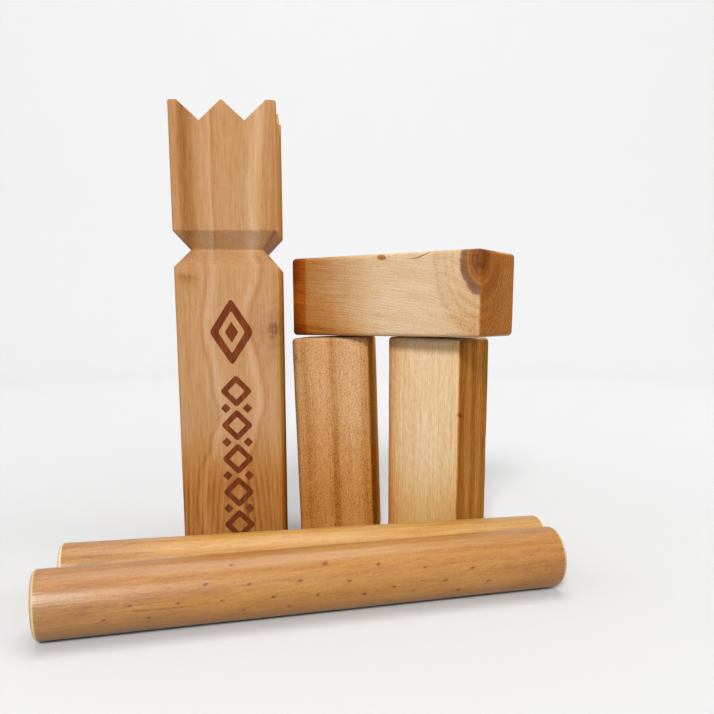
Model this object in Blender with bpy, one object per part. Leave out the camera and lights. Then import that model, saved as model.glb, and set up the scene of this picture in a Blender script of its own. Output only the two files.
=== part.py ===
"""Wooden lawn-game set: a king, three block pins and two throwing batons, standing as a small display.

Metres, +Z up, Z = 0 is the surface that everything stands on, and the origin is the middle of the
set's footprint. Each piece is one solid block of wood, so each is one object with one closed body.
"""

import math

import bmesh
import bpy
from mathutils import Matrix, Vector

# ---------------------------------------------------------------- driving dimensions (metres)
GAP = 0.0003                  # kept between pieces that touch

# king
KING_SIDE = 0.0680            # square section
KING_HEIGHT = 0.3000
KING_EDGE_R = 0.0030          # eased upright edges
KING_BASE_EASE = 0.0015       # eased rim of the base
NECK_TOP_Z = 0.2206           # where the neck groove starts below the crown
NECK_FLOOR_Z = 0.2091         # deepest line of the V groove
NECK_BOTTOM_Z = 0.1977        # where the groove runs out into the body
NECK_DEPTH = 0.0098           # V groove, all four sides
CROWN_NOTCH_AT = 0.0143       # notch lines, either side of the middle
CROWN_NOTCH_HALF = 0.0137     # half the width of a notch at the top
CROWN_NOTCH_DEPTH = 0.0123

# block pins
BLOCK_SIDE = 0.0550
BLOCK_LENGTH = 0.1500
BLOCK_EDGE_R = 0.0030
LEFT_LENGTH = 0.1510          # this one is cut a millimetre long
LEFT_LEAN = math.radians(1.84)  # and its foot is sawn out of square, so it leans
RIGHT_TOP_HIGH = 0.1516       # head of the right block, at its left edge
RIGHT_TOP_LOW = 0.1502        # and at its right edge
LYING_Z = 0.1521              # underside of the block that lies across the other two

# throwing batons
BATON_LENGTH = 0.3000
BATON_R = 0.0186
BATON_R_SMALL = 0.0172        # thin end of the rear baton, which is turned a little tapered
BATON_END_EASE = 0.0022
BATON_SIDES = 64

# placing: (x, y, turn about Z in degrees)
KING_AT = (-0.06135, 0.05646, 2.06)
LEFT_AT = (0.01412, 0.09101, -8.28)
RIGHT_AT = (0.08462, 0.06519, -30.74)
LYING_AT = (0.05525, 0.06378, -33.86)
FRONT_BATON_AT = (0.00130, -0.07011, 15.38)
REAR_BATON_AT = (-0.00061, -0.02851, 13.55)


# ---------------------------------------------------------------- helpers
for ob in list(bpy.data.objects):
    bpy.data.objects.remove(ob, do_unlink=True)


def wood(name, colour, roughness):
    m = bpy.data.materials.new(name)
    m.use_nodes = True
    b = m.node_tree.nodes["Principled BSDF"]
    b.inputs["Base Color"].default_value = (*colour, 1.0)
    b.inputs["Roughness"].default_value = roughness
    b.inputs["Metallic"].default_value = 0.0
    return m


def add_object(name, bm, material, at, parent, z=0.0, smooth=True):
    bmesh.ops.recalc_face_normals(bm, faces=bm.faces[:])
    me = bpy.data.meshes.new(name)
    bm.to_mesh(me)
    bm.free()
    if smooth:
        me.shade_smooth()
        me.set_sharp_from_angle(angle=math.radians(35))
    me.materials.append(material)
    ob = bpy.data.objects.new(name, me)
    bpy.context.scene.collection.objects.link(ob)
    ob.location = (at[0], at[1], z)
    ob.rotation_euler = (0.0, 0.0, math.radians(at[2]))
    ob.parent = parent
    return ob


def rounded_square(half, r, steps=4):
    """Counter-clockwise outline of a square with rounded corners."""
    pts = []
    for k in range(4):
        a0 = math.pi / 2 * k
        cx = (half - r) * (1 if k in (0, 3) else -1)
        cy = (half - r) * (1 if k in (0, 1) else -1)
        for i in range(steps + 1):
            a = a0 + math.pi / 2 * i / steps
            pts.append((cx + r * math.cos(a), cy + r * math.sin(a)))
    return pts


def loft(rings):
    """Closed body through rings of equally many points, with flat ends."""
    bm = bmesh.new()
    loops = [[bm.verts.new(p) for p in ring] for ring in rings]
    n = len(loops[0])
    for a, b in zip(loops, loops[1:]):
        for i in range(n):
            j = (i + 1) % n
            bm.faces.new((a[i], a[j], b[j], b[i]))
    bm.faces.new(list(reversed(loops[0])))
    bm.faces.new(loops[-1])
    return bm


def hexahedron(corners):
    """corners: four points of the foot, counter-clockwise, then the four above them."""
    bm = bmesh.new()
    v = [bm.verts.new(c) for c in corners]
    for f in ((3, 2, 1, 0), (4, 5, 6, 7), (0, 1, 5, 4), (1, 2, 6, 5), (2, 3, 7, 6), (3, 0, 4, 7)):
        bm.faces.new([v[i] for i in f])
    return bm


def ease_edges(ob, width, segments=3):
    m = ob.modifiers.new("eased_edges", "BEVEL")
    m.width = width
    m.segments = segments
    m.limit_method = "ANGLE"
    m.angle_limit = math.radians(40)
    return ob


# ---------------------------------------------------------------- the set
base = bpy.data.objects.new("set_origin", None)
bpy.context.scene.collection.objects.link(base)

king_wood = wood("king_wood", (0.60, 0.33, 0.15), 0.45)
left_wood = wood("left_block_wood", (0.58, 0.31, 0.16), 0.45)
right_wood = wood("right_block_wood", (0.66, 0.44, 0.22), 0.45)
lying_wood = wood("lying_block_wood", (0.68, 0.44, 0.21), 0.42)
front_wood = wood("front_baton_wood", (0.58, 0.32, 0.13), 0.38)
rear_wood = wood("rear_baton_wood", (0.62, 0.36, 0.14), 0.38)

# king: a square post with a V groove round its neck and a crown sawn into its head
half = KING_SIDE / 2
levels = [
    (0.0, half - KING_BASE_EASE),
    (KING_BASE_EASE, half),
    (NECK_BOTTOM_Z, half),
    (NECK_FLOOR_Z, half - NECK_DEPTH),
    (NECK_TOP_Z, half),
    (KING_HEIGHT, half),
]
king = add_object(
    "king",
    loft([[(x, y, z) for x, y in rounded_square(h, KING_EDGE_R)] for z, h in levels]),
    king_wood, KING_AT, base, smooth=False,
)

# crown notches: two run front to back, two run side to side
for turned in (0, 1):
    for side in (-1, 1):
        over = 0.01
        rise = CROWN_NOTCH_DEPTH * (1 + over / CROWN_NOTCH_DEPTH)
        wide = CROWN_NOTCH_HALF * rise / CROWN_NOTCH_DEPTH
        section = [
            (side * CROWN_NOTCH_AT, KING_HEIGHT - CROWN_NOTCH_DEPTH),
            (side * CROWN_NOTCH_AT + wide, KING_HEIGHT + over),
            (side * CROWN_NOTCH_AT - wide, KING_HEIGHT + over),
        ]
        reach = KING_SIDE
        bm = loft([[(x, -reach, z) for x, z in section], [(x, reach, z) for x, z in section]])
        if turned:
            bmesh.ops.rotate(bm, verts=bm.verts, cent=(0, 0, 0), matrix=Matrix.Rotation(math.pi / 2, 3, "Z"))
        cutter = add_object(f"crown_cutter_{turned}_{side + 1}", bm, king_wood, KING_AT, base, smooth=False)
        cutter.hide_render = True
        cutter.display_type = "WIRE"
        b = king.modifiers.new(f"crown_{turned}_{side + 1}", "BOOLEAN")
        b.operation = "DIFFERENCE"
        b.solver = "EXACT"
        b.object = cutter

# left standing block: its foot is sawn at LEFT_LEAN, so the post leans and its head is out of level
h = BLOCK_SIDE / 2
lean = Matrix.Rotation(-LEFT_LEAN, 3, "Y")
foot, head = [], []
for sx, sy in ((-1, -1), (1, -1), (1, 1), (-1, 1)):
    up = lean @ Vector((0, 0, 1))
    corner = lean @ Vector((sx * h, sy * h, 0))
    foot.append(corner - up * (corner.z / up.z))
    head.append(corner + up * LEFT_LENGTH)
block_left = ease_edges(
    add_object("block_standing_left", hexahedron(foot + head), left_wood, LEFT_AT, base), BLOCK_EDGE_R)

# right standing block: its head is sawn a little out of level
foot = [Vector((sx * h, sy * h, 0)) for sx, sy in ((-1, -1), (1, -1), (1, 1), (-1, 1))]
head = [Vector((p.x, p.y, RIGHT_TOP_HIGH if p.x < 0 else RIGHT_TOP_LOW)) for p in foot]
block_right = ease_edges(
    add_object("block_standing_right", hexahedron(foot + head), right_wood, RIGHT_AT, base), BLOCK_EDGE_R)

# block that lies across the two
l = BLOCK_LENGTH / 2
foot = [Vector((sx * l, sy * h, 0)) for sx, sy in ((-1, -1), (1, -1), (1, 1), (-1, 1))]
head = [p + Vector((0, 0, BLOCK_SIDE)) for p in foot]
block_lying = ease_edges(
    add_object("block_lying_on_top", hexahedron(foot + head), lying_wood, LYING_AT, base, z=LYING_Z), BLOCK_EDGE_R)


def baton(name, material, at, r_left, r_right):
    """A turned stick along local X that lies on the surface along its whole length."""
    steps = [(-1, 0.0), (-1, 1.0), (1, 1.0), (1, 0.0)]
    rings = []
    for end, full in steps:
        r_end = r_left if end < 0 else r_right
        r = r_end - (0.0 if full else BATON_END_EASE)
        x = end * (BATON_LENGTH / 2 - (BATON_END_EASE if full else 0.0))
        rings.append([
            (x, r * math.cos(2 * math.pi * i / BATON_SIDES), r_end + r * math.sin(2 * math.pi * i / BATON_SIDES))
            for i in range(BATON_SIDES)
        ])
    bm = loft(rings)
    return add_object(name, bm, material, at, base)


baton_front = baton("baton_front", front_wood, FRONT_BATON_AT, BATON_R, BATON_R)
baton_rear = baton("baton_rear", rear_wood, REAR_BATON_AT, BATON_R, BATON_R_SMALL)
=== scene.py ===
"""Wooden lawn-game set: fine meshes and solid-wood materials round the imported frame."""

import math

import bmesh
import bpy
import numpy as np
from mathutils import Matrix, Vector, noise


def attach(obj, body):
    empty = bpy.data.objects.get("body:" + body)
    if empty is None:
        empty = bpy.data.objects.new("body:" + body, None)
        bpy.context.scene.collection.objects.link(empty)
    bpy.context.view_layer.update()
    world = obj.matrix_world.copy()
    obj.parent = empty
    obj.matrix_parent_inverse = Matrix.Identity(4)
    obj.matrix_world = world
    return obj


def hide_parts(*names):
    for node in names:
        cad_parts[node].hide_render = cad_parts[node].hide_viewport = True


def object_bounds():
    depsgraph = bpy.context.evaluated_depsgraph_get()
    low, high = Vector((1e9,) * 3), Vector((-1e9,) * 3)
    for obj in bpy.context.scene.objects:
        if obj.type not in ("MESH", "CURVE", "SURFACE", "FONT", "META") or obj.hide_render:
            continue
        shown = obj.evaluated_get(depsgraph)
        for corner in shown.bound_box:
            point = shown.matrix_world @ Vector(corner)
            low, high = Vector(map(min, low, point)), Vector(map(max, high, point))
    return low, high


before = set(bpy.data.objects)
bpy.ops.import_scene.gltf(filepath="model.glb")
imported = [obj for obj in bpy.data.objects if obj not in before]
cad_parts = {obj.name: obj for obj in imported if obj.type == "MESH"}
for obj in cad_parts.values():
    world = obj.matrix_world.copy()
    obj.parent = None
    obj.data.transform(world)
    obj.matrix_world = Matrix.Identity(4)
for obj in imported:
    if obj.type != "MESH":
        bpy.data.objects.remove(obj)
cad_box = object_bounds()
scene = bpy.context.scene

# ------------------------------------------------------------------ placing, as in the design (metres, degrees)
KING_AT = (-0.06135, 0.05646, 2.06)
LEFT_AT = (0.01412, 0.09101, -8.28)
RIGHT_AT = (0.08462, 0.06519, -30.74)
LYING_AT = (0.05525, 0.06378, -33.86)
FRONT_AT = (0.00130, -0.07011, 15.38)
REAR_AT = (-0.00061, -0.02851, 13.55)
LYING_Z = 0.1521
LEFT_LEAN = math.radians(1.84)


# ------------------------------------------------------------------ camera
def make_camera():
    f_px, cx, cy, pitch, roll = 755.756, 351.93, 445.06, 0.1684, -0.00269
    cam = bpy.data.cameras.new("camera")
    cam.sensor_width = 36.0
    cam.lens = f_px / 714 * 36.0
    cam.shift_x = (357 - cx) / 714
    cam.shift_y = (cy - 357) / 714
    cam.clip_start, cam.clip_end = 0.01, 50
    ob = bpy.data.objects.new("camera", cam)
    scene.collection.objects.link(ob)
    f = Vector((0, math.cos(pitch), -math.sin(pitch)))
    u = Vector((0, math.sin(pitch), math.cos(pitch)))
    r = Vector((1, 0, 0))
    rr = r * math.cos(roll) + u * math.sin(roll)
    uu = u * math.cos(roll) - r * math.sin(roll)
    m = Matrix((rr, uu, -f)).transposed().to_4x4()
    m.translation = Vector((0.02159, -0.48132, 0.16546))
    ob.matrix_world = m
    scene.camera = ob
    return ob


make_camera()


# ------------------------------------------------------------------ node graph helper
class S:
    """A float socket with arithmetic."""

    def __init__(self, g, s):
        self.g, self.s = g, s

    def __add__(self, o): return self.g.m("ADD", self, o)
    __radd__ = __add__
    def __sub__(self, o): return self.g.m("SUBTRACT", self, o)
    def __rsub__(self, o): return self.g.m("SUBTRACT", o, self)
    def __mul__(self, o): return self.g.m("MULTIPLY", self, o)
    __rmul__ = __mul__
    def __truediv__(self, o): return self.g.m("DIVIDE", self, o)
    def __neg__(self): return self.g.m("MULTIPLY", self, -1.0)


def lin(c):
    """0-255 display colour to linear."""
    return tuple((v / 255 / 12.92) if v / 255 <= 0.04045 else ((v / 255 + 0.055) / 1.055) ** 2.4 for v in c)


class Graph:
    def __init__(self, name):
        self.mat = bpy.data.materials.new(name)
        self.mat.use_nodes = True
        self.nt = self.mat.node_tree
        self.bsdf = self.nt.nodes["Principled BSDF"]
        tc = self.nt.nodes.new("ShaderNodeTexCoord")
        sep = self.nt.nodes.new("ShaderNodeSeparateXYZ")
        # the piece's own place is in its mesh, so settle() sets this node to measure from that place
        place = self.nt.nodes.new("ShaderNodeMapping")
        place.name = "place"
        place.vector_type = "TEXTURE"
        self.nt.links.new(tc.outputs["Object"], place.inputs["Vector"])
        self.nt.links.new(place.outputs[0], sep.inputs[0])
        # distances along the piece's own axes, in millimetres
        self.x = S(self, sep.outputs[0]) * 1000.0
        self.y = S(self, sep.outputs[1]) * 1000.0
        self.z = S(self, sep.outputs[2]) * 1000.0

    def put(self, inp, v):
        if isinstance(v, S):
            self.nt.links.new(v.s, inp)
        elif isinstance(v, bpy.types.NodeSocket):
            self.nt.links.new(v, inp)
        else:
            inp.default_value = v

    def m(self, op, a, b=None, c=None):
        n = self.nt.nodes.new("ShaderNodeMath")
        n.operation = op
        self.put(n.inputs[0], a)
        if b is not None:
            self.put(n.inputs[1], b)
        if c is not None:
            self.put(n.inputs[2], c)
        return S(self, n.outputs[0])

    def sq(self, a): return self.m("MULTIPLY", a, a)
    def sqrt(self, a): return self.m("SQRT", a)
    def exp(self, a): return self.m("EXPONENT", a)
    def abs(self, a): return self.m("ABSOLUTE", a)
    def sin(self, a): return self.m("SINE", a)
    def frac(self, a): return self.m("FRACT", a)
    def lo(self, a, b): return self.m("MINIMUM", a, b)
    def hi(self, a, b): return self.m("MAXIMUM", a, b)

    def step(self, v, a, b):
        """0 below a, 1 above b, smooth between."""
        n = self.nt.nodes.new("ShaderNodeMapRange")
        n.interpolation_type = "SMOOTHSTEP"
        self.put(n.inputs["Value"], v)
        n.inputs["From Min"].default_value = a
        n.inputs["From Max"].default_value = b
        return S(self, n.outputs[0])

    def fall(self, v, a, b):
        return 1.0 - self.step(v, a, b)

    def bell(self, v, centre, width):
        """exp(-((v-centre)/width)^2)"""
        t = (v - centre) * (1.0 / width)
        return self.exp(self.sq(t) * -1.0)

    def spot(self, a, b, ca, cb, wa, wb):
        return self.exp((self.sq((a - ca) * (1.0 / wa)) + self.sq((b - cb) * (1.0 / wb))) * -1.0)

    def vec(self, x, y, z):
        n = self.nt.nodes.new("ShaderNodeCombineXYZ")
        for i, v in enumerate((x, y, z)):
            self.put(n.inputs[i], v)
        return n.outputs[0]

    def noise(self, x, y, z, detail=2.0, rough=0.5, off=0.0):
        """Noise about 0, roughly -1 to 1."""
        n = self.nt.nodes.new("ShaderNodeTexNoise")
        n.noise_dimensions = "3D"
        self.nt.links.new(self.vec(x + off, y + off * 1.7, z + off * 0.6), n.inputs["Vector"])
        n.inputs["Scale"].default_value = 1.0
        n.inputs["Detail"].default_value = detail
        n.inputs["Roughness"].default_value = rough
        return (S(self, n.outputs[0]) - 0.5) * 2.4

    def curve(self, v, stops, interp="EASE"):
        """Piecewise curve through (v, value) stops; values are stored between 0 and 1 and scaled back."""
        lo_v, hi_v = stops[0][0], stops[-1][0]
        lo_y = min(y for _, y in stops)
        hi_y = max(y for _, y in stops)
        span = max(hi_y - lo_y, 1e-6)
        n = self.nt.nodes.new("ShaderNodeValToRGB")
        n.color_ramp.interpolation = interp
        e = n.color_ramp.elements
        while len(e) < len(stops):
            e.new(0.5)
        for i, (p, y) in enumerate(stops):
            e[i].position = (p - lo_v) / (hi_v - lo_v)
            k = (y - lo_y) / span
            e[i].color = (k, k, k, 1)
        self.put(n.inputs[0], (v - lo_v) * (1.0 / (hi_v - lo_v)))
        sep = self.nt.nodes.new("ShaderNodeSeparateColor")
        self.nt.links.new(n.outputs[0], sep.inputs[0])
        return S(self, sep.outputs[0]) * span + lo_y

    def ramp(self, v, stops):
        """Colour ramp of (position, display colour) stops."""
        n = self.nt.nodes.new("ShaderNodeValToRGB")
        e = n.color_ramp.elements
        while len(e) < len(stops):
            e.new(0.5)
        for i, (p, c) in enumerate(stops):
            e[i].position = p
            e[i].color = (*lin(c), 1)
        self.put(n.inputs[0], v)
        return n.outputs[0]

    def mix(self, f, a, b, mode="MIX"):
        n = self.nt.nodes.new("ShaderNodeMix")
        n.data_type = "RGBA"
        n.blend_type = mode
        n.clamp_factor = True
        self.put(n.inputs[0], f)
        for i, c in ((6, a), (7, b)):
            if isinstance(c, tuple):
                n.inputs[i].default_value = (*lin(c), 1)
            else:
                self.nt.links.new(c, n.inputs[i])
        return n.outputs[2]

    def tint(self, colour, f, rgb):
        """Multiplies the colour by a linear triple, as far as f says."""
        n = self.nt.nodes.new("ShaderNodeMix")
        n.data_type = "RGBA"
        n.blend_type = "MULTIPLY"
        n.clamp_factor = True
        self.put(n.inputs[0], f)
        self.nt.links.new(colour, n.inputs[6])
        n.inputs[7].default_value = (*rgb, 1)
        return n.outputs[2]

    def finish(self, colour, rough, height, strength=0.4, distance=0.0006, gain=(1, 1, 1), spec=0.5):
        self.put(self.bsdf.inputs["Base Color"], self.tint(colour, 1.0, gain))
        self.put(self.bsdf.inputs["Roughness"], rough)
        self.put(self.bsdf.inputs["Specular IOR Level"], spec)
        b = self.nt.nodes.new("ShaderNodeBump")
        b.inputs["Strength"].default_value = strength
        b.inputs["Distance"].default_value = distance
        self.put(b.inputs["Height"], height)
        self.nt.links.new(b.outputs[0], self.bsdf.inputs["Normal"])
        return self.mat


class Wood:
    """Fine structure that every piece shares: u runs along the grain, a and b across it, all in millimetres."""

    def __init__(self, g, u, a, b, seed=0.0):
        self.g, self.u, self.a, self.b, self.seed = g, u, a, b, seed

    def fibres(self, wide=0.45, long=14.0):
        return self.g.noise(self.a / wide, self.b / wide, self.u / long, detail=2.0, off=self.seed)

    def streaks(self, wide=2.0, long=75.0, off=3.3):
        return self.g.noise(self.a / wide, self.b / wide, self.u / long, detail=2.0, off=self.seed + off)

    def clouds(self, wide=16.0, long=60.0, off=7.7, detail=1.0):
        return self.g.noise(self.a / wide, self.b / wide, self.u / long, detail=detail, off=self.seed + off)

    def pores(self, wide=0.32, long=2.6, cut=0.62, off=11.1):
        n = self.g.noise(self.a / wide, self.b / wide, self.u / long, detail=0.0, off=self.seed + off)
        return self.g.step(n, cut, cut + 0.35)

    def rings(self, phase, sharp=0.72):
        """Growth rings: a slow rise to the late wood, then a quick fall."""
        f = self.g.frac(phase)
        return self.g.step(f, 0.05, sharp) * self.g.fall(f, sharp + 0.02, 0.98)


# linear albedo gain of each wood, red, green, blue
KING_GAIN = (0.553, 0.54, 0.502)
CHAR_GAIN = (0.62, 0.585, 0.52)
LEFT_GAIN = (0.732, 0.757, 0.715)
RIGHT_GAIN = (0.688, 0.70, 0.675)
LYING_GAIN = (0.602, 0.62, 0.63)
FRONT_GAIN = (0.515, 0.432, 0.195)
REAR_GAIN = (0.68, 0.67, 0.43)


# ------------------------------------------------------------------ the materials
# Tone ramps, dark to light, as the wood looks under the studio light; each material's gain turns them into albedo.
TAN = [(0.0, (84, 40, 6)), (0.25, (144, 86, 28)), (0.5, (184, 128, 70)), (0.7, (203, 155, 105)), (0.85, (214, 172, 130)), (1.0, (228, 194, 158))]
TANPINK = [(0.0, (82, 42, 20)), (0.25, (142, 90, 54)), (0.5, (182, 130, 90)), (0.7, (200, 152, 116)), (0.85, (212, 172, 140)), (1.0, (226, 192, 166))]
PALE = [(0.0, (92, 44, 6)), (0.25, (150, 90, 30)), (0.5, (190, 134, 76)), (0.7, (212, 170, 120)), (0.85, (223, 192, 151)), (1.0, (236, 212, 178))]
PALEPINK = [(0.0, (88, 44, 22)), (0.25, (148, 92, 54)), (0.5, (188, 136, 92)), (0.7, (210, 168, 130)), (0.85, (222, 188, 156)), (1.0, (234, 208, 182))]
STICK = [(0.0, (92, 42, 4)), (0.25, (146, 88, 24)), (0.5, (186, 130, 62)), (0.7, (206, 156, 90)), (0.85, (220, 176, 118)), (1.0, (232, 198, 148))]
STICKPINK = [(0.0, (92, 50, 26)), (0.25, (146, 98, 62)), (0.5, (182, 136, 102)), (0.7, (202, 160, 126)), (0.85, (216, 178, 146)), (1.0, (228, 196, 168))]
AMBER = (1.02, 0.86, 0.52)      # linear tint towards a richer, redder orange: the wood's own colour in places, and painted shade where it warms the feet of the pieces and the underside of the batons
SHADY = (1.10, 0.70, 0.24)      # painted shade: a deeper tint for faces that turn away from the light, where the wood looks deepest


def king_wood():
    g = Graph("king_wood")
    x, y, z = g.x, g.y, g.z
    w = Wood(g, z, x, y, seed=1.0)
    wander = g.noise(x / 40.0, y / 40.0, z / 95.0, detail=2.0, off=5.0)
    ragged = g.noise(x / 1.6, y / 1.6, z / 9.0, detail=2.0, off=6.5)
    # knots: a smudge below the neck on the left, a larger swirl on the right
    n1 = g.noise(x / 5.0, y / 5.0, z / 4.0, detail=3.0, off=1.5)
    r1 = g.sqrt(g.sq(x + 26.0) + g.sq((z - 190.0) * 1.4)) + n1 * 1.6
    r2 = g.sqrt(g.sq(x - 30.0) + g.sq((z - 157.0) * 0.75)) + n1 * 2.4
    push = (x + 26.0) * g.exp(g.sq(r1 / 8.0) * -1.0) * -0.5 + (x - 31.0) * g.exp(g.sq(r2 / 15.0) * -1.0) * -0.5
    xs = x + wander * 1.7 + ragged * 0.35 + (y + 34.0) * 0.22 + push
    # crown: upright bands, some of them fading towards the neck
    lean_in = g.step(z, 225.0, 300.0) * g.step(x, 4.0, 18.0) * 5.0
    crown = g.curve(xs - lean_in, [
        (-36, .54), (-33, .62), (-29, .59), (-26.5, .40), (-23, .36), (-20, .43), (-17, .60), (-11, .66), (-9.0, .73), (-7.3, .77), (-6.5, .55),
        (-3, .64), (5, .65), (12, .66), (15, .76), (18.5, .84), (21.5, .76), (24, .62), (28, .57), (31, .51), (34, .58), (42, .50), (60, .56)])
    # body: two pale flames that wander down the post
    left = g.curve(z, [(0, -18), (40, -22), (60, -20), (80, -12), (100, -5.5), (120, -9), (160, -14.5), (196, -11), (215, -8), (300, -8)])
    right = g.curve(z, [(0, 3), (40, 6), (66, 9), (88, 16), (110, 21.5), (136, 19), (165, 14), (196, 20), (215, 16), (300, 16)])
    dl, dr = xs - left, xs - right
    # low marks the foot of the post: the cathedral figure is strongest there, and the wood is painted darker and warmer
    # there as painted shade from the batons lying in front
    low = g.fall(z, 44.0, 100.0)
    body = (
        0.695
        + g.bell(dl, 1.5, 3.0) * 0.10 - g.bell(dl, -2.4, 1.6) * 0.12 + g.bell(z, 108.0, 40.0) * 0.03
        + g.bell(dr, -1.0, 3.0) * 0.12 - g.bell(dr, 2.8, 1.8) * 0.13
        - g.step(dl * -1.0, 2.0, 12.0) * 0.05
        - g.step(dr, 2.0, 8.0) * (low * 0.02 + 0.03)
        - low * 0.12
    )
    # cathedral figure, strongest towards the foot
    arch = g.sqrt(g.sq(xs - 2.0) + g.sq((z + 70.0) * 0.11) + 4.0)
    ring = w.rings(arch * 0.34 + wander * 0.5 + n1 * 0.06)
    ringed = (low * 0.75 + 0.25) * (g.noise(x / 12.0, y / 12.0, z / 40.0, detail=1.0, off=9.0) * 0.6 + 0.7)
    on_body = g.fall(z, 201.0, 212.0)
    tone = crown + (body - crown) * on_body - ring * ringed * on_body * (0.08 + low * 0.12)
    k1 = g.exp(g.sq(r1 / 5.0) * -1.0)
    k2 = g.exp(g.sq(r2 / 5.0) * -1.0)
    swirl2 = g.sin(r2 * 0.95 + n1 * 2.5) * g.exp(g.sq(r2 / 12.0) * -1.0)
    front = g.fall(y, -24.0, 4.0)
    tone = tone - (k1 * 0.18 + g.step(n1, 0.0, 0.4) * g.exp(g.sq(r1 / 9.0) * -1.0) * 0.13) * front
    tone = tone - (k2 * 0.22 + swirl2 * 0.08 + g.step(n1, 0.1, 0.5) * g.exp(g.sq(r2 / 12.0) * -1.0) * 0.10 + g.exp(g.sq(r2 / 12.0) * -1.0) * 0.06) * g.step(x, 5.0, 20.0)
    fib, st, st2, cl = w.fibres(0.85, 11.0), w.streaks(2.0, 70.0), w.streaks(1.1, 22.0, off=4.4), w.clouds(12.0, 70.0, detail=2.0)
    pore = w.pores(0.55, 3.6, cut=0.50)
    tone = tone + fib * 0.11 + st * 0.065 + st2 * 0.08 + cl * 0.045 - pore * 0.16
    # side is the right side face: painted light and shade stand in for how that face is lit, with its own tone, a less
    # pink hue, a lighter, bluer tint, deeper orange below the neck, and less specular
    side = g.step(x, 32.4, 33.8)
    back = g.step(y, 32.4, 33.8)
    tone = tone + side * (0.02 - g.step(y, -16.0, 26.0) * 0.10) - back * 0.08 + g.bell(z, 214.0, 6.0) * 0.07 + g.spot(x, z, 29.0, 60.0, 5.0, 60.0) * 0.05
    # pinker on the neck's upper chamfer, which faces down: painted shade colour
    hue = 0.30 + cl * 0.35 + g.exp(g.sq(r2 / 13.0) * -1.0) * 0.7 + g.bell(xs, -8.0, 2.0) * 0.4 + g.bell(z, 217.0, 5.0) * 0.3 - side * 0.6
    colour = g.mix(hue, g.ramp(tone, TAN), g.ramp(tone, TANPINK))
    # painted shade: warmer at the foot (low); painted light: the right side face (side) lifted and bluer
    colour = g.tint(g.tint(colour, low, (1.03, 0.87, 0.56)), side * 0.95, (1.55, 1.62, 1.75))
    # painted shade: the right side face deeper orange below the neck
    colour = g.tint(colour, side * g.fall(z, 190.0, 215.0), (1.0, 0.92, 0.55))
    rough = 0.62 + fib * 0.05 + pore * 0.12
    height = fib * 0.5 + st2 * 0.4 - pore * 1.0 - ring * 0.2
    return g.finish(colour, rough, height, gain=KING_GAIN, spec=(1.0 - side) * 0.10)


def char_wood():
    """Burnt floor and walls of the engraving."""
    g = Graph("char_wood")
    w = Wood(g, g.z, g.x, g.y, seed=9.0)
    fib, st, cl = w.fibres(0.9, 8.0), w.streaks(1.8, 30.0), w.clouds(3.0, 14.0)
    tone = 0.5 + fib * 0.22 + st * 0.15 + cl * 0.2
    colour = g.ramp(tone, [(0.0, (74, 26, 8)), (0.5, (120, 58, 26)), (1.0, (160, 94, 50))])
    return g.finish(colour, 0.8 + fib * 0.06, fib + cl * 0.5, strength=0.6, gain=CHAR_GAIN, spec=0.1)


def left_wood():
    g = Graph("left_block_wood")
    x, y, z = g.x, g.y, g.z
    w = Wood(g, z, x, y, seed=21.0)
    wander = g.noise(x / 30.0, y / 30.0, z / 75.0, detail=2.0)
    ragged = g.noise(x / 1.2, y / 1.2, z / 7.0, detail=2.0, off=6.5)
    xs = x + wander * 1.3 + ragged * 0.75 + (y + 27.5) * 0.3
    fade = g.noise(x / 20.0, y / 20.0, z / 32.0, detail=1.0, off=3.7) * 0.5 + 0.85
    bands = g.curve(xs, [
        (-30, -.10), (-25, -.04), (-21.5, -.02), (-19.5, -.10), (-18, -.13), (-16, -.05), (-11, .03), (-5, .03), (-1.5, .0), (0.4, -.11), (1.6, -.16),
        (3.4, -.11), (6, .0), (10, .035), (16, .07), (20, .04), (23, -.07), (24.6, -.12), (26, -.03), (28, .02), (34, -.10), (44, .03), (52, -.08)])
    # painted shade: darker towards the foot, where the batons in front shade the post
    tone = 0.655 + bands * fade * 1.35 - g.fall(z, 25.0, 115.0) * 0.13
    fib, st, st2, cl = w.fibres(0.9, 7.0), w.streaks(1.7, 80.0), w.streaks(1.0, 16.0, off=4.4), w.clouds(9.0, 40.0, detail=2.0)
    pore = w.pores(0.80, 1.2, cut=0.22)
    pale = w.pores(0.85, 1.7, cut=0.30, off=14.0)
    grit = g.noise(x / 0.95, y / 0.95, z / 1.15, detail=1.0, off=27.0)
    tone = tone + 0.01 + fib * 0.09 + st * 0.07 + st2 * 0.07 + cl * 0.03 - pore * 0.22 + pale * 0.12 + grit * 0.20
    nick = g.spot(x, z, -24.6, 137.0, 0.9, 2.4) + g.spot(x, z, -22.6, 134.6, 0.8, 1.0) * 0.6
    tone = tone - nick * 0.3 * g.fall(y, -26.0, -22.0)
    # side is the right side face: painted light lifts it and makes it more orange, with less specular; a lighter,
    # warmer strip along the front right arris is a painted highlight
    side = g.step(x, 26.0, 27.4)
    tone = tone + side * 0.04 + g.bell(x, 26.3, 1.3) * 0.06 * g.fall(y, -24.0, -20.0)
    hue = 0.45 + cl * 0.35 - side * 0.6
    colour = g.mix(hue, g.ramp(tone, TAN), g.ramp(tone, TANPINK))
    # warmer towards the foot as painted shade, on one grain band, and on the right front arris as part of its painted
    # highlight
    colour = g.tint(colour, g.fall(z, 10.0, 115.0) * 0.9 + g.bell(xs, 1.6, 3.0) * 0.2 + g.bell(x, 26.5, 1.6) * 0.5, AMBER)
    # painted light: the right side face lighter and more orange
    colour = g.tint(colour, side * 0.95, (1.38, 1.15, 0.70))
    # painted shade: warmer again low on the faces other than the right side
    colour = g.tint(colour, (1.0 - side) * g.fall(z, 30.0, 95.0) * 0.35, AMBER)
    height = fib * 0.5 + st2 * 0.4 - pore * 1.1 + pale * 0.3 + grit * 0.3
    return g.finish(colour, 0.6 + fib * 0.05 + pore * 0.1, height, strength=0.5, gain=LEFT_GAIN, spec=(1.0 - side) * 0.08)


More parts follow.
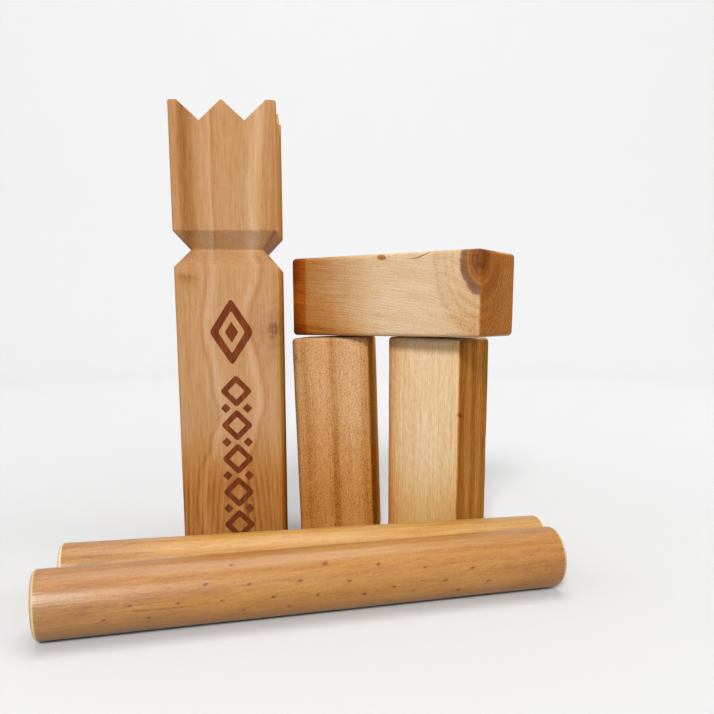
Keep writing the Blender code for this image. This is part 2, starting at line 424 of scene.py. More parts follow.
def right_wood():
    g = Graph("right_block_wood")
    x, y, z = g.x, g.y, g.z
    w = Wood(g, z, x, y, seed=33.0)
    wander = g.noise(x / 30.0, y / 30.0, z / 120.0, detail=1.0)
    ragged = g.noise(x / 1.2, y / 1.2, z / 20.0, detail=2.0, off=6.5)
    xs = x + wander * 0.8 + ragged * 0.5 + (y + 27.5) * 0.12
    tone = g.curve(xs, [
        (-29, .42), (-25.5, .50), (-22.5, .58), (-19.5, .70), (-15, .77), (-8, .81), (0, .82), (10, .82), (19, .80), (24, .76), (28, .72), (36, .66)])
    fib, st, st2, cl = w.fibres(0.8, 24.0), w.streaks(1.5, 140.0), w.streaks(0.9, 80.0, off=4.4), w.clouds(9.0, 120.0, detail=2.0)
    line = g.step(w.streaks(0.75, 60.0, off=8.8), 0.42, 0.85)
    line2 = g.step(w.streaks(1.3, 100.0, off=9.9), 0.35, 0.8)
    pore = w.pores(0.55, 3.0, cut=0.6)
    grit = g.noise(x / 0.9, y / 0.9, z / 4.0, detail=1.0, off=27.0)
    tone = tone + 0.03 + fib * 0.10 + st * 0.06 + st2 * 0.10 + cl * 0.03 - pore * 0.14 - line * 0.26 - line2 * 0.09 + grit * 0.12
    # painted shade: darker and more amber towards the foot, where the batons in front shade the post
    foot = g.fall(z, 5.0, 75.0)
    tone = tone - foot * 0.10
    # side is the right side face: its much darker tone (sidetone), with its own grain bands and lighter low down, is
    # painted shade, with a slight tint and less specular
    side = g.step(x, 25.9, 27.2)
    sidetone = g.curve(y + wander * 1.4 + ragged * 0.6, [(-28, .24), (-26, .26), (-23, .34), (-19, .29), (-15, .38), (-10, .44), (-6, .37), (-1, .31), (4, .37), (8, .42), (13, .36), (18, .29), (23, .33), (28, .28)])
    sidetone = sidetone - 0.04 + st * 0.10 + fib * 0.18 + st2 * 0.16 + cl * 0.03 - line * 0.14 + g.fall(z, 10.0, 90.0) * 0.08 + g.step(x, 26.0, 27.0) * grit * 0.10
    nick = g.spot(y, z, -26.2, 99.0, 2.4, 1.3) + g.spot(y, z, -22.5, 98.0, 3.0, 0.8) * 0.6
    tone = tone + (sidetone - tone) * side - nick * 0.24 * g.step(x, 24.0, 26.5)
    hue = 0.10 + cl * 0.2 + g.bell(xs, -24.0, 3.0) * 0.6 - side * 0.3
    colour = g.mix(hue, g.ramp(tone, PALE), g.ramp(tone, PALEPINK))
    # painted shade: warmer towards the foot (foot); warmer wood down the left edge
    colour = g.tint(colour, foot * 0.8 + g.bell(xs, -28.0, 6.0) * g.fall(z, 60.0, 130.0), AMBER)
    # painted shade: slight tint on the right side face
    colour = g.tint(colour, side * 0.85, (1.04, 1.02, 0.90))
    # painted shade: warmer again low on the faces other than the right side
    colour = g.tint(colour, (1.0 - side) * g.fall(z, 30.0, 80.0) * 0.15, AMBER)
    height = fib * 0.5 + st2 * 0.5 - pore * 0.9 - line * 0.6
    return g.finish(colour, 0.55 + fib * 0.05, height, gain=RIGHT_GAIN, spec=(1.0 - side) * 0.10)


def lying_wood():
    g = Graph("lying_block_wood")
    x, y, z = g.x, g.y, g.z          # grain along x; z from 0 to 55
    w = Wood(g, x, z, y, seed=45.0)
    rough_edge = g.noise(x / 4.5, y / 4.5, z / 4.5, detail=3.0, off=1.0)
    # big knot at the near top corner, running back into the block
    kx, kz, ky = x - 77.5, z - 49.5, y + 27.5
    rk = g.sqrt(g.sq(kx * 1.36) + g.sq(kz) + g.sq(ky * 0.95)) + rough_edge * 2.0
    pull = g.exp(g.sq(rk / 34.0) * -1.0)
    wander = g.noise(x / 75.0, y / 24.0, z / 26.0, detail=1.0)
    ragged = g.noise(z / 1.2, y / 1.2, x / 14.0, detail=1.0, off=5.0)
    zs = z + wander * 2.2 + ragged * 0.25 + (x + 75.0) * 0.10 + (y + 27.5) * 0.25 - kz * pull * 0.8
    st = g.noise(zs / 1.9, y / 2.2, x / 60.0, detail=2.0, off=3.0)
    st2 = g.noise(zs / 1.0, y / 1.2, x / 30.0, detail=1.0, off=4.0)
    fine = g.noise(zs / 0.8, y / 0.8, x / 13.0, detail=1.0, off=6.0)
    cl = w.clouds(10.0, 40.0, detail=2.0)
    along = g.curve(x + wander * 4.0, [(-76, .44), (-64, .49), (-54, .53), (-42, .57), (-31, .66), (-19, .74), (-6, .81), (6, .84), (19, .85), (31, .84), (44, .82), (56, .79), (66, .74), (76, .68)])
    tongue = g.step(g.noise(zs / 4.2, y / 8.0, x / 90.0, detail=2.0, off=12.0), -0.05, 0.7) * g.fall(x, -40.0, 12.0)
    # painted shade: the bottom edge of the front, left of the middle, darker and warmer (foot)
    foot = g.fall(z, 1.5, 13.0)
    tone = along - tongue * 0.08 - foot * g.fall(x, -45.0, 10.0) * 0.13
    grit = g.noise(x / 1.6, y / 0.95, z / 0.95, detail=1.0, off=27.0)
    tone = tone + st * 0.05 + fine * 0.055 + st2 * 0.06 + cl * 0.05 + grit * 0.12
    # fine dark lines along the grain, denser in the middle of the face
    line = g.step(g.noise(zs / 0.75, y / 1.4, x / 26.0, detail=1.0, off=15.0), 0.44, 0.85)
    mid = g.spot(x, z, -12.0, 26.0, 46.0, 15.0)
    tone = tone - line * (mid * 0.34 + 0.05) * g.step(rk, 24.0, 34.0)
    fleck = g.step(g.noise(zs / 0.8, y / 1.2, x / 4.5, detail=0.0, off=16.0), 0.5, 0.85)
    tone = tone - fleck * 0.11
    # a warm haze left of the small knot and an orange one right of the middle
    tone = tone - g.spot(x, z, 21.0, 41.0, 9.0, 4.5) * 0.05 - g.spot(x, z, -24.0, 42.0, 13.0, 9.0) * 0.03
    # specks that ring the knot
    sp = g.step(g.noise(x / 1.7, y / 1.7, z / 1.3, detail=1.0, off=17.0), 0.0, 0.45)
    halo = g.bell(rk, 46.0, 3.4) * 0.17 + g.bell(rk, 38.0, 2.4) * 0.14 + g.bell(rk, 31.0, 1.8) * 0.09
    tone = tone - halo * (0.40 + sp * 0.9)
    ringlets = g.sin(rk * 1.15 + cl * 1.5) * g.step(rk, 22.0, 26.0) * g.fall(rk, 40.0, 52.0)
    tone = tone + ringlets * 0.018
    # the knot itself: orange heart, dark rings, purple-brown rim
    heart = g.curve(rk, [(0, .06), (4, .16), (7, .08), (9.5, .22), (11.5, .15), (13.5, .32), (15.0, .25), (16.5, .38), (18.4, .30), (21, .34), (23.0, .40), (24.5, .48), (26.0, .62), (60, .7)], "LINEAR")
    knot_on = g.fall(rk, 22.6, 25.4)
    core = g.fall(rk, 17.5, 19.5)
    tone = tone + (heart + fine * 0.08 + rough_edge * 0.05 - tone) * knot_on
    # small oval knot at the top edge
    rs = g.sqrt(g.sq((x - 2.0) / 3.7) + g.sq((z - 52.4 + (x - 2.0) * 0.16) / 1.9)) + rough_edge * 0.16
    small = g.fall(rs, 0.75, 1.15) * g.fall(y, -22.0, -16.0)
    tone = tone - small * (0.42 + g.fall(rs, 0.2, 0.6) * 0.08) - g.fall(rs, 1.0, 2.6) * 0.05
    # thin curved check that leaves the top edge, with a lip of darker wood
    cr = (z - 51.2) - (x - 30.0) * 0.24 - g.sq((x - 30.0) * 0.12) - rough_edge * 0.3
    crack = g.exp(g.sq(cr / 0.40) * -1.0) * g.step(x, 22.0, 30.0) * g.fall(x, 36.5, 40.0) * g.fall(y, -23.0, -18.0)
    lip = g.exp(g.sq((z - 53.2) / 0.9) * -1.0) * g.step(x, 8.0, 14.0) * g.fall(x, 24.0, 32.0) * g.fall(y, -23.0, -18.0)
    tone = tone - crack * 0.5 - lip * 0.12
    # painted shadow: the king's shadow over the left end of the long faces, darker and deeper brown, strongest on the
    # front; the sawn end itself is left out
    stub = g.fall(x, -74.7, -74.0)
    king_shadow_band = g.fall(x + rough_edge * 0.35, -63.2, -60.8) * (1.0 - stub) * (0.3 + g.fall(y, -25.0, -14.0) * 0.7)
    tone = tone - king_shadow_band * 0.10 + king_shadow_band * st * 0.04
    # right-hand end grain, darker and browner: partly the end grain's own colour, partly painted shade on a face turned
    # from the light
    ends = g.step(x, 73.6, 74.8)
    rr = g.sqrt(g.sq(y + 60.0) + g.sq(z - 66.0)) + cl * 2.0 + rough_edge * 0.6
    endring = w.rings(rr * 0.30)
    endtone = 0.36 - endring * 0.09 + g.noise(y / 1.1, z / 1.1, x, detail=2.0, off=31.0) * 0.20 + g.step(y, -8.0, 20.0) * 0.05 + cl * 0.03
    # dark wedge from the knot towards the far corner
    wedge = g.spot(y, z - y * 0.25, -20.0, 42.0, 17.0, 9.0)
    endtone = endtone - wedge * 0.24 + g.sin(rk * 0.9) * g.fall(rk, 30.0, 46.0) * 0.03
    tone = tone + (endtone - tone) * ends * g.step(rk, 17.0, 24.0)
    stubring = w.rings(g.sqrt(g.sq(y - 48.0) + g.sq(z + 20.0)) * 0.30 + cl * 0.5)
    stubtone = 0.50 - stubring * 0.08 + g.noise(y / 1.1, z / 1.1, x, detail=2.0, off=33.0) * 0.18 + cl * 0.04
    tone = tone + (stubtone - tone) * stub
    hue = 0.12 + cl * 0.25 + g.bell(x, -33.0, 14.0) * 0.55 + knot_on * 0.3 - king_shadow_band * 0.5 - ends * 0.3
    colour = g.mix(hue, g.ramp(tone, PALE), g.ramp(tone, PALEPINK))
    rim = (knot_on - core) * g.fall(ends, 0.3, 1.0)
    colour = g.mix(rim * 0.85, colour, g.ramp(tone, [(0.0, (66, 34, 28)), (0.35, (132, 92, 70)), (0.6, (176, 138, 108)), (1.0, (214, 178, 140))]))
    # warmer in the knot's heart; painted shade warms the bottom edge (foot)
    colour = g.tint(colour, core * 0.5 + foot * g.fall(x, -45.0, 10.0) * 0.6, AMBER)
    # deeper orange towards the left end, most in the lower part
    colour = g.tint(colour, g.fall(x, -58.0, 5.0) * (0.35 + g.fall(z, 8.0, 40.0) * 0.45) * (1.0 - king_shadow_band), AMBER)
    # painted shadow of the king: deeper brown at the left end
    colour = g.tint(colour, king_shadow_band, (1.05, 0.56, 0.14))
    # the right-hand end grain browner: its own colour, deepened as painted shade
    colour = g.tint(colour, ends * 0.9 * (1.0 - king_shadow_band), (1.03, 0.88, 0.54))
    height = fine * 0.45 + st2 * 0.4 - fleck * 0.6 - line * 0.6 - small * 1.4 - crack * 3.5 - knot_on * 0.4 - rim * 0.5
    return g.finish(colour, 0.52 + fine * 0.05 + knot_on * 0.03, height, gain=LYING_GAIN, spec=(1.0 - ends * 0.8) * 0.12)


def stick_wood(name, seed, dots, front, gain):
    g = Graph(name)
    x, y, z = g.x, g.y, g.z          # grain along x, axis through the middle of the stick
    w = Wood(g, x, y, z, seed=seed)
    slope = x * 0.05                  # the grain runs a little out of line
    wander = g.noise(x / 85.0, y / 24.0, z / 24.0, detail=2.0, off=seed)
    ragged = g.noise(x / 9.0, y / 1.2, z / 1.2, detail=2.0, off=seed + 5.0)
    zs, ys = z - slope + wander * 2.6 + ragged * 0.35, y + wander * 1.6
    rho = g.sqrt(g.sq(zs - 17.0) + g.sq(ys - 30.0))
    ring = w.rings(rho * 0.22 + g.noise(x / 50.0, y / 7.0, z / 7.0, detail=1.0, off=seed + 2.0) * 0.35)
    st = g.noise(zs / 2.0, ys / 2.0, x / 60.0, detail=2.0, off=seed + 3.0)
    st2 = g.noise(zs / 1.0, ys / 1.0, x / 16.0, detail=2.0, off=seed + 4.0)
    fine = g.noise(zs / 0.8, ys / 0.8, x / 7.0, detail=2.0, off=seed + 6.0)
    cl = w.clouds(9.0, 45.0, detail=2.0)
    fleck = g.step(g.noise(zs / 0.75, ys / 0.75, x / 5.0, detail=0.0, off=seed + 15.0), 0.5, 0.85)
    line = g.step(g.noise(zs / 0.9, ys / 0.9, x / 26.0, detail=1.0, off=seed + 17.0), 0.50, 0.9)
    grit = g.noise(x / 1.5, y / 0.9, z / 0.9, detail=1.0, off=27.0)
    tone = 0.63 + st * 0.075 + st2 * 0.10 + fine * 0.09 + cl * 0.07 - ring * 0.08 - fleck * 0.18 - line * 0.18 + grit * 0.12
    hue = 0.05 + cl * 0.25
    if front:
        # pinkish, duller sapwood low on the left; browner towards the right end; one dark streak
        pinky = g.fall(x + z * 3.0 + wander * 8.0, -150.0, -55.0)
        hue = hue + pinky * 0.8
        mauve = g.bell(zs - 3.0, -6.0, 3.4) * g.fall(x, -80.0, -40.0)
        tone = tone - mauve * 0.05 - g.fall(x, -130.0, 20.0) * 0.09
        streak = g.bell(z + 1.2 + x * 0.012 + ragged * 0.3, -1.5, 0.5) * g.step(x, -104.0, -96.0) * g.fall(x, -76.0, -68.0)
        tone = tone - streak * 0.20
        tone = tone - g.step(x, 70.0, 146.0) * g.bell(z, -3.0, 12.0) * 0.14
    else:
        flame = g.step(g.noise(zs / 4.5, ys / 6.0, x / 34.0, detail=2.0, off=40.0), 0.0, 0.5)
        tone = tone - flame * (g.bell(x, -108.0, 30.0) * 0.17 + g.bell(x, 118.0, 34.0) * 0.12 + 0.03) - g.fall(x, -140.0, -60.0) * 0.20
    face = g.fall(y, -2.0, 2.0)
    pin = glow = None
    for (px, pz, s) in dots:
        dx, dz = (x - px) * (1.0 / (1.15 * s)), (z - pz - (x - px) * 0.15) * (1.0 / (0.60 * s))
        q = g.sq(dx) + g.sq(dz)
        d, e = g.exp(q * -1.0), g.exp(q * -0.2)
        pin = d if pin is None else pin + d
        glow = e if glow is None else glow + e
    if pin is not None:
        pin = g.lo(pin * 1.2, 1.0) * face
        glow = g.lo(glow, 1.0) * face
        tone = tone - pin * 0.42 - glow * 0.03
    ends = g.step(g.abs(x), 148.6, 149.6)
    endring = w.rings(g.sqrt(g.sq(z - 22.0) + g.sq(y - 30.0)) * 0.33)
    endgrit = g.noise(y / 1.0, z / 1.0, x / 4.0, detail=2.0, off=seed + 21.0)
    tone = tone - ends * (0.06 + endring * 0.16 - endgrit * 0.10)
    arris = g.step(g.abs(x), 147.6, 148.4)
    colour = g.mix(hue, g.ramp(tone, STICK), g.ramp(tone, STICKPINK))
    # painted shade: warmer on the lower part of the stick, its underside
    colour = g.tint(colour, g.fall(z, -12.0, 6.0) * 0.12, AMBER)
    # near-white rim round both cut ends: painted highlight where the rounded edge catches the light; the end faces
    # themselves come out paler too, as raw wood paler than the handled length
    colour = g.mix(arris * (0.70 - fleck * 0.4) - ends * (0.24 + endring * 0.18), colour, (250, 238, 250))
    height = fine * 0.45 + st2 * 0.35 - fleck * 0.6 - line * 0.6 - ring * 0.2
    if pin is not None:
        height = height - pin * 0.8
    # a thin worn coat of oil from handling
    g.bsdf.inputs["Coat Weight"].default_value = 0.22
    g.bsdf.inputs["Coat Roughness"].default_value = 0.38
    return g.finish(colour, 0.44 + fine * 0.05 + cl * 0.03, height, strength=0.22, gain=gain, spec=0.55)


# ------------------------------------------------------------------ mesh makers
def solidify(name, verts, faces, mats, matrix, smooth=True, angle=35):
    me = bpy.data.meshes.new(name)
    me.from_pydata([tuple(v) for v in verts], [], [tuple(f) for f in faces])
    me.update()
    if smooth:
        me.shade_smooth()
        me.set_sharp_from_angle(angle=math.radians(angle))
    for m in mats:
        me.materials.append(m)
    ob = bpy.data.objects.new(name, me)
    scene.collection.objects.link(ob)
    ob.matrix_world = matrix
    return ob


def settle(ob):
    """Moves the piece's place from its object into its mesh, and turns its materials to suit."""
    m = ob.matrix_world.copy()
    ob.data.transform(m)
    for v in ob.data.vertices:
        v.co = [min(max(v.co[i], cad_box[0][i]), cad_box[1][i]) for i in range(3)]
    ob.data.update()
    ob.matrix_world = Matrix.Identity(4)
    for mat in ob.data.materials:
        node = mat.node_tree.nodes["place"]
        node.inputs["Location"].default_value = m.to_translation()
        node.inputs["Rotation"].default_value = m.to_euler("XYZ")
    return ob


def placed(at, z=0.0):
    return Matrix.Translation((at[0], at[1], z)) @ Matrix.Rotation(math.radians(at[2]), 4, "Z")


def stations(half, r, gap, arc=6):
    """Positions along one axis of the outer cube, so that the rounded edge gets even steps."""
    edge = [half - r + r * math.tan(math.pi / 4 * k / arc) for k in range(arc, 0, -1)]
    n = max(2, int(round(2 * (half - r) / gap)))
    flat = [(half - r) * (1 - 2 * i / n) for i in range(n + 1)]
    return [-e for e in edge] + [-f for f in flat] + edge[::-1]


def rounded_block(size, r, gap=1.7, ease=None):
    """Grid of a block with eased edges, in millimetres about its middle; ease(p) scales the edge radius."""
    h = [s / 2 for s in size]
    st = [stations(h[i], r, gap) for i in range(3)]
    index, verts, faces = {}, [], []

    def vert(i, j, k):
        key = (i, j, k)
        if key not in index:
            q = np.array([st[0][i], st[1][j], st[2][k]])
            rr = r * (ease(q) if ease else 1.0)
            inner = np.array([max(-h[n] + rr, min(h[n] - rr, q[n])) for n in range(3)])
            d = q - inner
            # only the share of q outside the inner block bends round the edge
            length = np.linalg.norm(d)
            p = inner + d * (rr / length) if length > 1e-9 else inner
            index[key] = len(verts)
            verts.append(p)
        return index[key]

    n = [len(s) - 1 for s in st]
    for axis in range(3):
        a, b = [(1, 2), (2, 0), (0, 1)][axis]
        for end in (0, n[axis]):
            for i in range(n[a]):
                for j in range(n[b]):
                    quad = []
                    for di, dj in ((0, 0), (1, 0), (1, 1), (0, 1)):
                        c = [0, 0, 0]
                        c[axis], c[a], c[b] = end, i + di, j + dj
                        quad.append(vert(*c))
                    faces.append(quad if end else quad[::-1])
    return verts, faces


def wobble(p, scale, seed):
    return noise.noise(Vector((p[0] / scale + seed, p[1] / scale - seed, p[2] / scale + 2 * seed)))


def worn(verts, half, seed, flat=0.10, dents=()):
    """Pulls the surface in a little: sanding hollows, and a few small dents. half is the half size, so nothing moves outwards."""
    out = []
    for p in verts:
        p = np.array(p, float)
        n = np.array([0.0, 0.0, 0.0])
        for i in range(3):
            e = (abs(p[i]) - (half[i] - 3.0)) / 3.0
            if e > 0:
                n[i] = math.copysign(e, p[i])
        ln = np.linalg.norm(n)
        if ln > 1e-6:
            n /= ln
            depth = flat * (0.5 + 0.5 * wobble(p, 23.0, seed))
            for (c, rad, dep) in dents:
                d = np.linalg.norm(p - np.array(c))
                depth += dep * math.exp(-(d / rad) ** 2)
            p = p - n * depth
        out.append(p)
    return out


def block(name, mat, matrix, size, seed, ends, shape=None, dents=()):
    """A block pin. ends lifts the middle-based grid to its place along the grain; shape bends the finished points."""
    verts, faces = rounded_block(size, 3.0, ease=lambda q: 1.0 + 0.22 * wobble(q, 21.0, seed + 4.0))
    verts = worn(verts, [s / 2 for s in size], seed, dents=dents)
    out = []
    for p in verts:
        p = p + np.array(ends)
        if shape:
            p = shape(p)
        out.append(p / 1000.0)
    return solidify(name, out, faces, [mat], matrix)


def loft(rings):
    verts, faces = [], []
    n = len(rings[0])
    for r in rings:
        verts += list(r)
    for a in range(len(rings) - 1):
        for i in range(n):
            j = (i + 1) % n
            faces.append((a * n + i, a * n + j, (a + 1) * n + j, (a + 1) * n + i))
    faces.append(tuple(range(n))[::-1])
    faces.append(tuple((len(rings) - 1) * n + i for i in range(n)))
    return verts, faces


def outline(half, r, per_side=24, arc=7):
    """Counter-clockwise rounded square with points along its sides."""
    pts = []
    for k in range(4):
        a0 = math.pi / 2 * k
        c, s = math.cos(a0), math.sin(a0)
        # side that ends at corner k, then the corner's arc
        for i in range(per_side):
            t = -1 + 2 * i / per_side
            px, py = half, (half - r) * t
            pts.append((c * px - s * py, s * px + c * py))
        for i in range(arc):
            a = math.pi / 2 * i / arc
            px, py = half - r + r * math.cos(a), half - r + r * math.sin(a)
            pts.append((c * px - s * py, s * px + c * py))
    return pts


def applied(ob):
    """Bakes an object's modifiers into its mesh."""
    bpy.context.view_layer.update()
    dg = bpy.context.evaluated_depsgraph_get()
    me = bpy.data.meshes.new_from_object(ob.evaluated_get(dg), preserve_all_data_layers=True, depsgraph=dg)
    ob.modifiers.clear()
    ob.data = me
    return ob


def cut(ob, cutters, solver="EXACT"):
    for c in cutters:
        b = ob.modifiers.new("cut", "BOOLEAN")
        b.operation = "DIFFERENCE"
        b.solver = solver
        b.object = c
    applied(ob)
    for c in cutters:
        bpy.data.objects.remove(c, do_unlink=True)
    return ob


# ------------------------------------------------------------------ king
M_KING, M_CHAR = king_wood(), char_wood()


def prism(name, pts, y0, y1, matrix, mat):
    """Prism of an x-z outline (millimetres), counter-clockwise seen from -Y, between y0 and y1."""
    n = len(pts)
    verts = [(x / 1000, y0 / 1000, z / 1000) for x, z in pts] + [(x / 1000, y1 / 1000, z / 1000) for x, z in pts]
    faces = [tuple(range(n)), tuple(range(2 * n - 1, n - 1, -1))]
    faces += [((i + 1) % n, i, n + i, n + (i + 1) % n) for i in range(n)]
    return solidify(name, verts, faces, [mat], matrix, smooth=False)


def ring_prism(name, outer, inner, y0, y1, matrix, mat):
    """Prism of the band between two outlines of equally many points."""
    n = len(outer)
    verts = []
    for y in (y0, y1):
        for pts in (outer, inner):
            verts += [(x / 1000, y / 1000, z / 1000) for x, z in pts]
    faces = []
    for i in range(n):
        j = (i + 1) % n
        faces.append((i, j, n + j, n + i))                              # front
        faces.append((2 * n + j, 2 * n + i, 3 * n + i, 3 * n + j))      # back
        faces.append((j, i, 2 * n + i, 2 * n + j))                      # outer wall
        faces.append((n + i, n + j, 3 * n + j, 3 * n + i))              # inner wall
    return solidify(name, verts, faces, [mat], matrix, smooth=False)


def lozenge(cx, cz, a, b, corner=0.0, steps=5):
    """Diamond outline, counter-clockwise seen from the front (x right, z up), with rounded corners."""
    raw = [(cx + a, cz), (cx, cz + b), (cx - a, cz), (cx, cz - b)]
    if corner <= 0:
        return raw
    pts = []
    for k in range(4):
        p, q, r = Vector(raw[k - 1]), Vector(raw[k]), Vector(raw[(k + 1) % 4])
        d0, d1 = (p - q).normalized(), (r - q).normalized()
        s, e = q + d0 * corner, q + d1 * corner
        for i in range(steps + 1):
            t = i / steps
            pts.append(tuple(s * (1 - t) ** 2 + q * 2 * t * (1 - t) + e * t * t))
    return pts


def build_king():
    half, r = 34.0, 3.0
    m = placed(KING_AT)
    levels = [(0.0, half - 1.5), (0.25, half - 0.75), (0.8, half - 0.22), (1.6, half)]
    z = 1.6
    for target, end_half in ((197.7, half),):
        steps = 60
        levels += [(1.6 + (target - 1.6) * i / steps, half) for i in range(1, steps + 1)]
    levels += [(197.7 + (209.1 - 197.7) * i / 6, half - 9.8 * i / 6) for i in range(1, 7)]
    levels += [(209.1 + (220.6 - 209.1) * i / 6, half - 9.8 + 9.8 * i / 6) for i in range(1, 7)]
    levels += [(220.6 + (300.0 - 220.6) * i / 26, half) for i in range(1, 27)]
    rings = []
    for lz, h in levels:
        ring = []
        for (px, py) in outline(h, r * (1 + 0.18 * wobble((0, 0, lz), 30.0, 2.0))):
            p = np.array([px, py, lz])
            d = math.hypot(px, py)
            pull = 0.10 * (0.5 + 0.5 * wobble(p, 26.0, 8.0)) if 2.0 < lz < 299.0 else 0.0
            ring.append(((px - px / d * pull) / 1000, (py - py / d * pull) / 1000, lz / 1000))
        rings.append(ring)
    verts, faces = loft(rings)
    king = solidify("king_post", verts, faces, [M_KING, M_CHAR], m, smooth=False)
    cutters = []
    for turned in (0, 1):
        for side in (-1, 1):
            at, hw, dep, over = side * 14.3, 13.7, 12.3, 10.0
            wide = hw * (dep + over) / dep
            pts = [(at, 300 - dep), (at + wide, 300 + over), (at - wide, 300 + over)]
            c = prism("notch", pts, -60.0, 60.0, m, M_KING)
            if turned:
                c.data.transform(Matrix.Rotation(math.pi / 2, 4, "Z"))
            cutters.append(c)
    cut(king, cutters)
    bev = king.modifiers.new("arris", "BEVEL")
    bev.width = 0.00045
    bev.segments = 2
    bev.limit_method = "ANGLE"
    bev.angle_limit = math.radians(30)
    bev.use_clamp_overlap = True
    applied(king)
    # burnt-in ornament on the front: a plain chain of lozenges
    y0, y1 = -40.0, -half + 0.65
    orn = []
    orn.append(ring_prism("o", lozenge(2.5, 155.5, 14.6, 22.2, 3.2), lozenge(2.5, 155.5, 8.8, 14.0, 1.6), y0, y1, m, M_CHAR))
    orn.append(prism("o", lozenge(2.5, 155.5, 4.4, 7.0, 0.8), y0, y1, m, M_CHAR))
    cz, pitch = 116.5, 23.0
    for i in range(5):
        orn.append(ring_prism("o", lozenge(4.5, cz, 10.8, 10.9, 2.2), lozenge(4.5, cz, 5.7, 5.7, 0.8), y0, y1, m, M_CHAR))
        if i < 4:
            for sx in (-1, 1):
                orn.append(prism("o", lozenge(4.5 + sx * 7.2, cz - pitch / 2, 3.3, 3.4, 0.6), y0, y1, m, M_CHAR))
        cz -= pitch
    cut(king, orn)
    king.data.shade_smooth()
    king.data.set_sharp_from_angle(angle=math.radians(28))
    return king


king = settle(build_king())
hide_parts("king")
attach(king, "king")

# ------------------------------------------------------------------ block pins
lean = Matrix.Rotation(-LEFT_LEAN, 4, "Y")


def left_shape(p):
    # the foot is sawn level with the surface, so the post is longer on its left side
    foot = -(math.sin(LEFT_LEAN) * p[0]) / math.cos(LEFT_LEAN)
    return np.array([p[0], p[1], p[2] + (1 - p[2] / 151.0) * foot])


left = settle(block("block_left", left_wood(), placed(LEFT_AT) @ lean, (55.0, 55.0, 151.0), 3.0, (0, 0, 75.5), left_shape))
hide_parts("block_standing_left")
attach(left, "block_left")


def right_shape(p):
    top = 151.6 + (150.2 - 151.6) * (p[0] + 27.5) / 55.0
    return np.array([p[0], p[1], p[2] * top / 150.0])


right = settle(block("block_right", right_wood(), placed(RIGHT_AT), (55.0, 55.0, 150.0), 6.0, (0, 0, 75.0), right_shape,
                     dents=[((27.5, -26.0, 24.0), 2.2, 0.35)]))
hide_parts("block_standing_right")
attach(right, "block_right")

lying = settle(block("block_top", lying_wood(), placed(LYING_AT, LYING_Z), (150.0, 55.0, 55.0), 11.0, (0, 0, 27.5),
                     dents=[((1.5, -27.5, 26.0), 2.6, 0.35)]))
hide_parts("block_lying_on_top")
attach(lying, "block_top")


# ------------------------------------------------------------------ batons
def build_baton(name, mat, at, r_left, r_right, seed):
    sides, gap = 96, 1.9
    ease = 2.4
    xs, ks = [], []
    for i in range(7):
        a = math.pi / 2 * i / 6
        xs.append(-150.0 + ease * (1 - math.sin(a)))
        ks.append(ease * (1 - math.cos(a)))
    xs, ks = xs[::-1], ks[::-1]
    xs, ks = [-150.0 + ease * (1 - math.cos(math.pi / 2 * i / 6)) for i in range(7)], [ease * (1 - math.sin(math.pi / 2 * i / 6)) for i in range(7)]
    n = int(round((300 - 2 * ease) / gap))
    prof = list(zip(xs, ks))
    prof += [(-150.0 + ease + (300 - 2 * ease) * i / n, 0.0) for i in range(1, n)]
    prof += [(-x, k) for x, k in prof[:7][::-1]]
    # flat ends close in three rings, so that the end face is a grid and not one big fan
    inner = [(-150.0, ease + (min(r_left, r_right) - ease) * t) for t in (0.85, 0.6, 0.3)]
    prof = inner + prof + [(-x, k) for x, k in inner[::-1]]
    rings = []
    for x, k in prof:
        r0 = r_left + (r_right - r_left) * (x + 150) / 300
        ring = []
        for i in range(sides):
            a = 2 * math.pi * i / sides
            p = (x, r0 * math.cos(a), r0 * math.sin(a))
            pull = 0.16 * (0.5 + 0.5 * wobble(p, 34.0, seed)) + 0.05 * (0.5 + 0.5 * wobble(p, 8.0, seed + 9))
            rr = max(r0 - k - pull, 0.4)
            ring.append((x / 1000, rr * math.cos(a) / 1000, rr * math.sin(a) / 1000))
        rings.append(ring)
    verts, faces = loft(rings)
    r_mid = (r_left + r_right) / 2 / 1000
    # the axis of a tapered stick that lies on the surface slopes a little
    tilt = Matrix.Rotation(math.atan((r_left - r_right) / 300), 4, "Y")
    return settle(solidify(name, verts, faces, [mat], placed(at, r_mid) @ tilt))


def dots_at(seed, x0, x1, count, spread):
    """Pin knots as (along, height, size), scattered over the near face."""
    rng = np.random.default_rng(seed)
    out = []
    for i in range(count):
        px = x0 + (x1 - x0) * (i + rng.uniform(0.1, 0.9)) / count
        out.append((px, rng.uniform(-spread, spread) - 2.0 + 0.012 * px, rng.uniform(0.7, 1.1)))
    return out


FRONT_DOTS = [
    (-102.0, 1.6, 0.8), (-77.8, 0.4, 0.8), (-63.0, 8.6, 1.0), (-55.2, -0.4, 0.8), (-40.4, 6.6, 0.8), (-12.8, 6.0, 1.0), (-28.0, -1.2, 0.9),
    (2.0, 13.0, 1.1), (14.4, 3.4, 0.9), (-3.4, -2.6, 1.0), (32.0, 10.4, 1.0), (23.2, -5.0, 1.0), (40.4, -2.4, 0.9), (52.0, -6.4, 0.9),
    (59.0, 6.8, 0.8), (71.0, -1.6, 1.0), (88.0, 4.0, 1.2), (80.4, -9.4, 0.9), (98.0, -5.0, 1.0), (-49.0, 15.6, 0.7), (-93.0, -6.2, 0.8),
    (-114.8, -5.0, 1.0), (-44.0, -7.4, 1.0), (-19.0, -8.2, 0.9)]
REAR_DOTS = dots_at(7, -120.0, 120.0, 6, 5.0)
front = build_baton("baton_front_stick", stick_wood("front_baton_wood", 60.0, FRONT_DOTS, True, FRONT_GAIN), FRONT_AT, 18.6, 18.6, 4.0)
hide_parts("baton_front")
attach(front, "baton_front")
rear = build_baton("baton_rear_stick", stick_wood("rear_baton_wood", 80.0, REAR_DOTS, False, REAR_GAIN), REAR_AT, 18.6, 17.2, 14.0)
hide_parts("baton_rear")
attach(rear, "baton_rear")


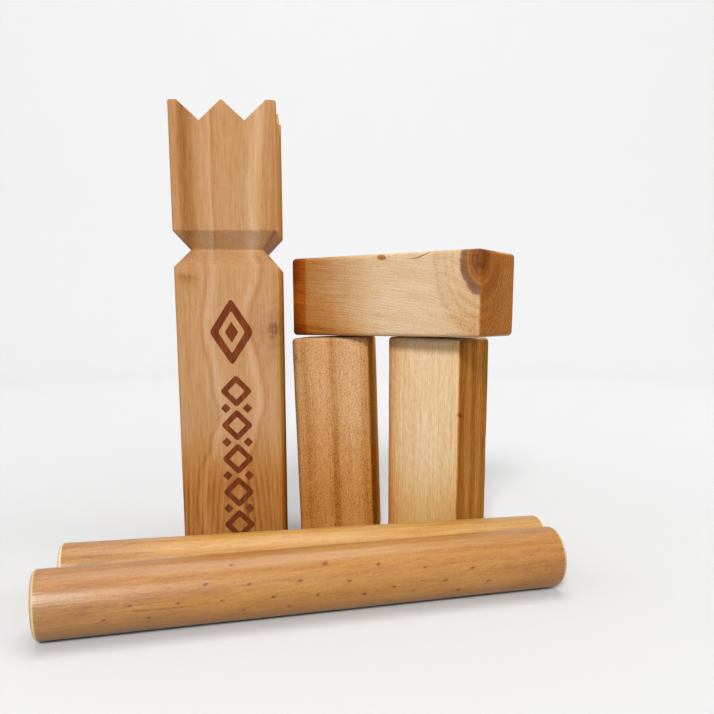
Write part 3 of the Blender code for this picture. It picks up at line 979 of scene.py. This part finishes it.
# ------------------------------------------------------------------ floor, backdrop and light
def stage_material():
    g = Graph("paper")
    n = g.noise(g.x / 90.0, g.y / 90.0, g.z / 90.0, detail=3.0)
    # the pale paper deepens a little towards the brightest part of the floor, so that the sweep looks even
    out = g.lo(g.sqrt(g.sq(g.x) + g.sq(g.y)), 1600.0) + g.z
    shade = [(0.0, 183), (0.07, 185), (0.12, 190), (0.17, 195), (0.25, 202), (0.38, 214), (0.43, 213), (0.55, 213), (0.75, 216), (1.0, 218)]
    colour = g.ramp(out * (1.0 / 4000.0) + n * 0.004, [(p, (v, v, v)) for p, v in shade])
    return g.finish(colour, 0.9, n, strength=0.02, spec=0.1)


def build_stage():
    """Pale sweep: a flat floor that curves up into a wall on every side but stays out of the way."""
    prof = [(0.0, 0.0), (1.6, 0.0)]
    prof += [(1.6 + 1.2 * math.sin(a), 1.2 - 1.2 * math.cos(a)) for a in [math.pi / 2 * i / 16 for i in range(1, 17)]]
    prof += [(2.8, 4.0)]
    sides = 96
    verts, faces = [(0, 0, 0)], []
    for r, z in prof[1:]:
        verts += [(r * math.cos(2 * math.pi * i / sides), r * math.sin(2 * math.pi * i / sides), z) for i in range(sides)]
    for i in range(sides):
        faces.append((0, 1 + i, 1 + (i + 1) % sides))
    for k in range(len(prof) - 2):
        a, b = 1 + k * sides, 1 + (k + 1) * sides
        for i in range(sides):
            j = (i + 1) % sides
            faces.append((a + i, b + i, b + j, a + j))
    ob = solidify("floor", verts, faces, [stage_material()], Matrix.Identity(4))
    return ob


build_stage()


def area(name, at, size, power, colour=(1, 1, 1), target=(0.02, 0.05, 0.12), size_y=None):
    l = bpy.data.lights.new(name, "AREA")
    l.shape = "RECTANGLE" if size_y else "SQUARE"
    l.size = size
    if size_y:
        l.size_y = size_y
    l.energy = power
    l.color = colour
    ob = bpy.data.objects.new(name, l)
    scene.collection.objects.link(ob)
    ob.location = at
    ob.rotation_euler = (Vector(target) - Vector(at)).to_track_quat("-Z", "Y").to_euler()
    return ob


world = bpy.data.worlds.new("studio")
world.use_nodes = True
world.node_tree.nodes["Background"].inputs[0].default_value = (1.0, 1.0, 1.0, 1)
world.node_tree.nodes["Background"].inputs[1].default_value = 0.36
scene.world = world
area("key", (-0.34, -2.15, 1.50), 0.50, 75.0)
area("fill", (2.0, -0.2, 0.9), 1.0, 13.0)
area("top", (0.0, 0.25, 1.9), 1.2, 18.0)
area("wall", (0.0, 0.9, 2.6), 1.6, 24.5, target=(0.0, 2.8, 0.6))
scene.view_settings.view_transform = "Standard"
scene.view_settings.look = "None"
